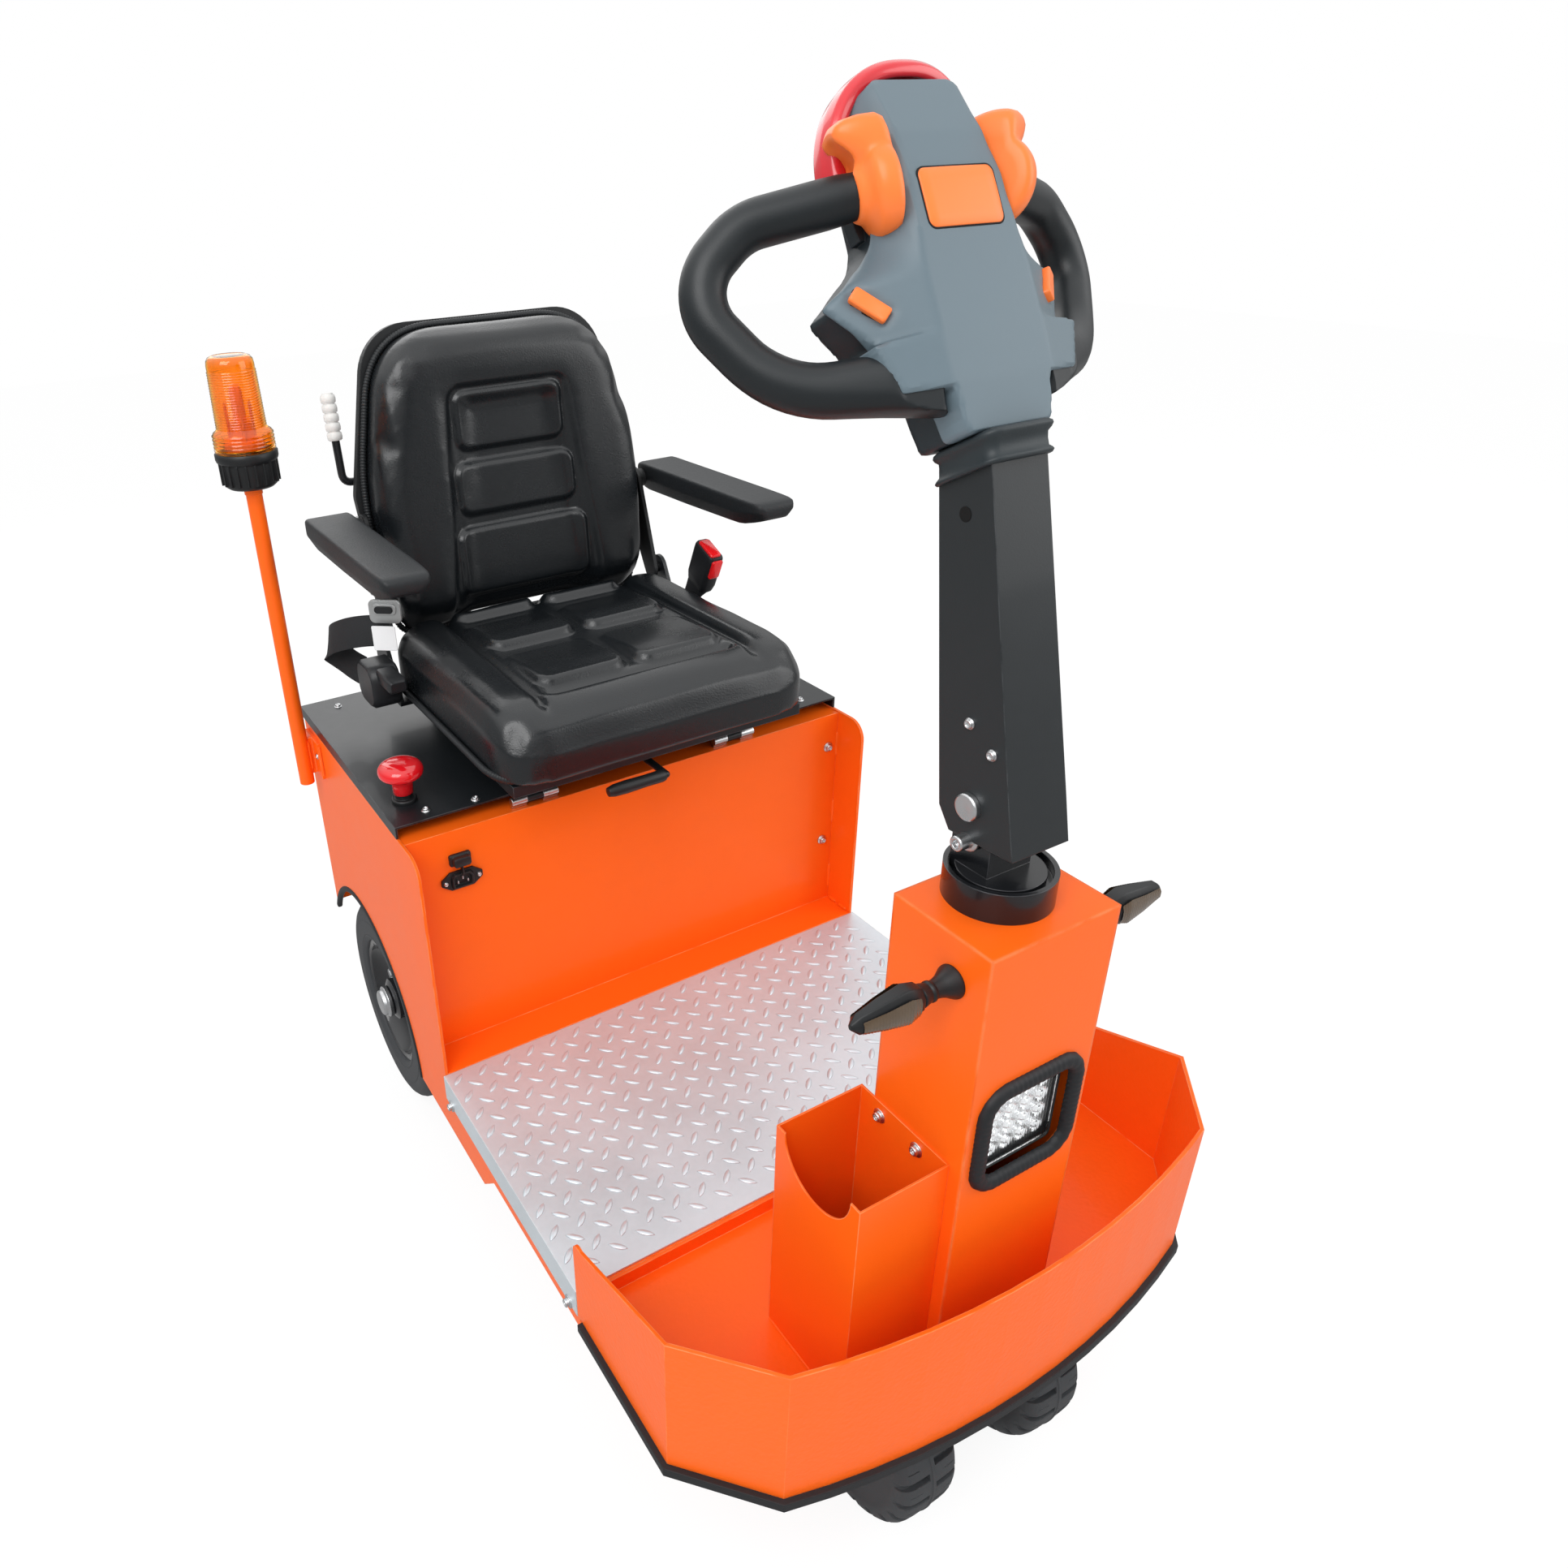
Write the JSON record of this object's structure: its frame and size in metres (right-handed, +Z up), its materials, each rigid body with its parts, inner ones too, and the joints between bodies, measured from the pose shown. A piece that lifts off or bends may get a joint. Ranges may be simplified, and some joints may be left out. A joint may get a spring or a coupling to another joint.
{
  "type": "seated electric tow tractor",
  "caption": "Seated electric tow tractor with a checker-plate deck, nose tray, tiller steering on a column, driver's seat and a pole beacon.",
  "frame": {"origin": "on the ground under the middle of the bounding box", "axes": "-Y is the driving direction, +X the driver's left, +Z up"},
  "size_m": [0.777, 1.271, 1.416],
  "materials": {
    "orange_paint": "satin",
    "checker_steel": "galvanised",
    "black_paint": "satin",
    "black_rubber": "matte",
    "tyre_rubber": "matte",
    "black_vinyl": "satin",
    "black_plastic": "matte",
    "battery_case": "matte",
    "bright_steel": "polished",
    "lamp_glass": "gloss",
    "amber_lens": "gloss",
    "switch_grey": "satin",
    "red_plastic": "gloss",
    "white_plastic": "matte",
    "grey_plastic": "satin",
    "dark_plastic": "matte",
    "orange_plastic": "satin"
  },
  "bodies": {
    "chassis": {"chassis_frame": "orange_paint", "side_plate_left": "orange_paint", "side_plate_right": "orange_paint", "front_panel": "orange_paint", "rear_panel": "orange_paint", "deck_plate": "checker_steel", "nose_tray": "orange_paint", "bumper_strip": "black_rubber", "column": "orange_paint", "side_bin": "orange_paint", "work_lamp": "lamp_glass", "lamp_trim": "black_rubber", "turn_signals": "black_plastic", "steering_ring": "black_paint", "battery": "battery_case", "rear_axle": "black_paint", "tow_hitch": "black_paint", "charge_inlet": "black_plastic", "beacon_pole": "orange_paint", "beacon_base": "black_plastic", "beacon_lens": "amber_lens", "lid_hinge": "bright_steel"},
    "seat_cover": {"cover_plate": "black_paint", "seat_rails": "black_paint", "seat_pan": "black_plastic", "seat_cushion": "black_vinyl", "stop_switch": "switch_grey", "stop_knob": "red_plastic", "belt_retractor": "black_plastic", "belt_buckle": "black_plastic"},
    "backrest": {"backrest_shell": "black_plastic", "backrest_pad": "black_vinyl", "recline_lever": "white_plastic"},
    "left_armrest": {"armrest_left": "black_plastic"},
    "right_armrest": {"armrest_right": "black_plastic"},
    "steering": {"steering_yoke": "black_paint", "steering_fork": "black_paint", "front_axle": "bright_steel"},
    "tiller": {"tiller_post": "black_paint", "tiller_collar": "black_rubber", "head_housing": "dark_plastic", "head_cover": "grey_plastic", "head_plate": "orange_plastic", "crash_bumper": "red_plastic", "handle_loops": "black_rubber", "thumb_paddles": "orange_plastic", "rocker_switches": "orange_plastic"},
    "front_wheels": {"front_tyre_left": "tyre_rubber", "front_tyre_right": "tyre_rubber", "front_rims": "black_paint"},
    "left_rear_wheel": {"rear_tyre_left": "tyre_rubber", "rear_rim_left": "black_paint"},
    "right_rear_wheel": {"rear_tyre_right": "tyre_rubber", "rear_rim_right": "black_paint"}
  },
  "joints": [
    {"name": "cover_hinge", "type": "hinge", "parent": "chassis", "child": "seat_cover", "pos_m": [0.0275, 0.1325, 0.617], "axis": [1, 0, 0], "range_deg": [0, 50]},
    {"name": "backrest_recline", "type": "hinge", "parent": "seat_cover", "child": "backrest", "pos_m": [0.0275, 0.4655, 0.767], "axis": [-1, 0, 0], "range_deg": [0, 25]},
    {"name": "left_armrest_raise", "type": "hinge", "parent": "backrest", "child": "left_armrest", "pos_m": [0.3035, 0.5135, 0.905], "axis": [-1, 0, 0], "range_deg": [0, 85]},
    {"name": "right_armrest_raise", "type": "hinge", "parent": "backrest", "child": "right_armrest", "pos_m": [-0.2485, 0.5135, 0.905], "axis": [-1, 0, 0], "range_deg": [0, 85]},
    {"name": "steering_turn", "type": "hinge", "parent": "chassis", "child": "steering", "pos_m": [0.0275, -0.5045, 0.6], "axis": [0, 0, 1], "range_deg": [-60, 60]},
    {"name": "tiller_tilt", "type": "hinge", "parent": "steering", "child": "tiller", "pos_m": [0.0275, -0.4915, 0.868], "axis": [1, 0, 0], "range_deg": [-25, 8]},
    {"name": "front_wheels_roll", "type": "hinge", "parent": "steering", "child": "front_wheels", "pos_m": [0.0275, -0.5045, 0.109], "axis": [1, 0, 0], "continuous": true},
    {"name": "left_rear_wheel_roll", "type": "hinge", "parent": "chassis", "child": "left_rear_wheel", "pos_m": [0.3215, 0.3855, 0.166], "axis": [1, 0, 0], "continuous": true},
    {"name": "right_rear_wheel_roll", "type": "hinge", "parent": "chassis", "child": "right_rear_wheel", "pos_m": [-0.2665, 0.3855, 0.166], "axis": [1, 0, 0], "continuous": true}
  ]
}
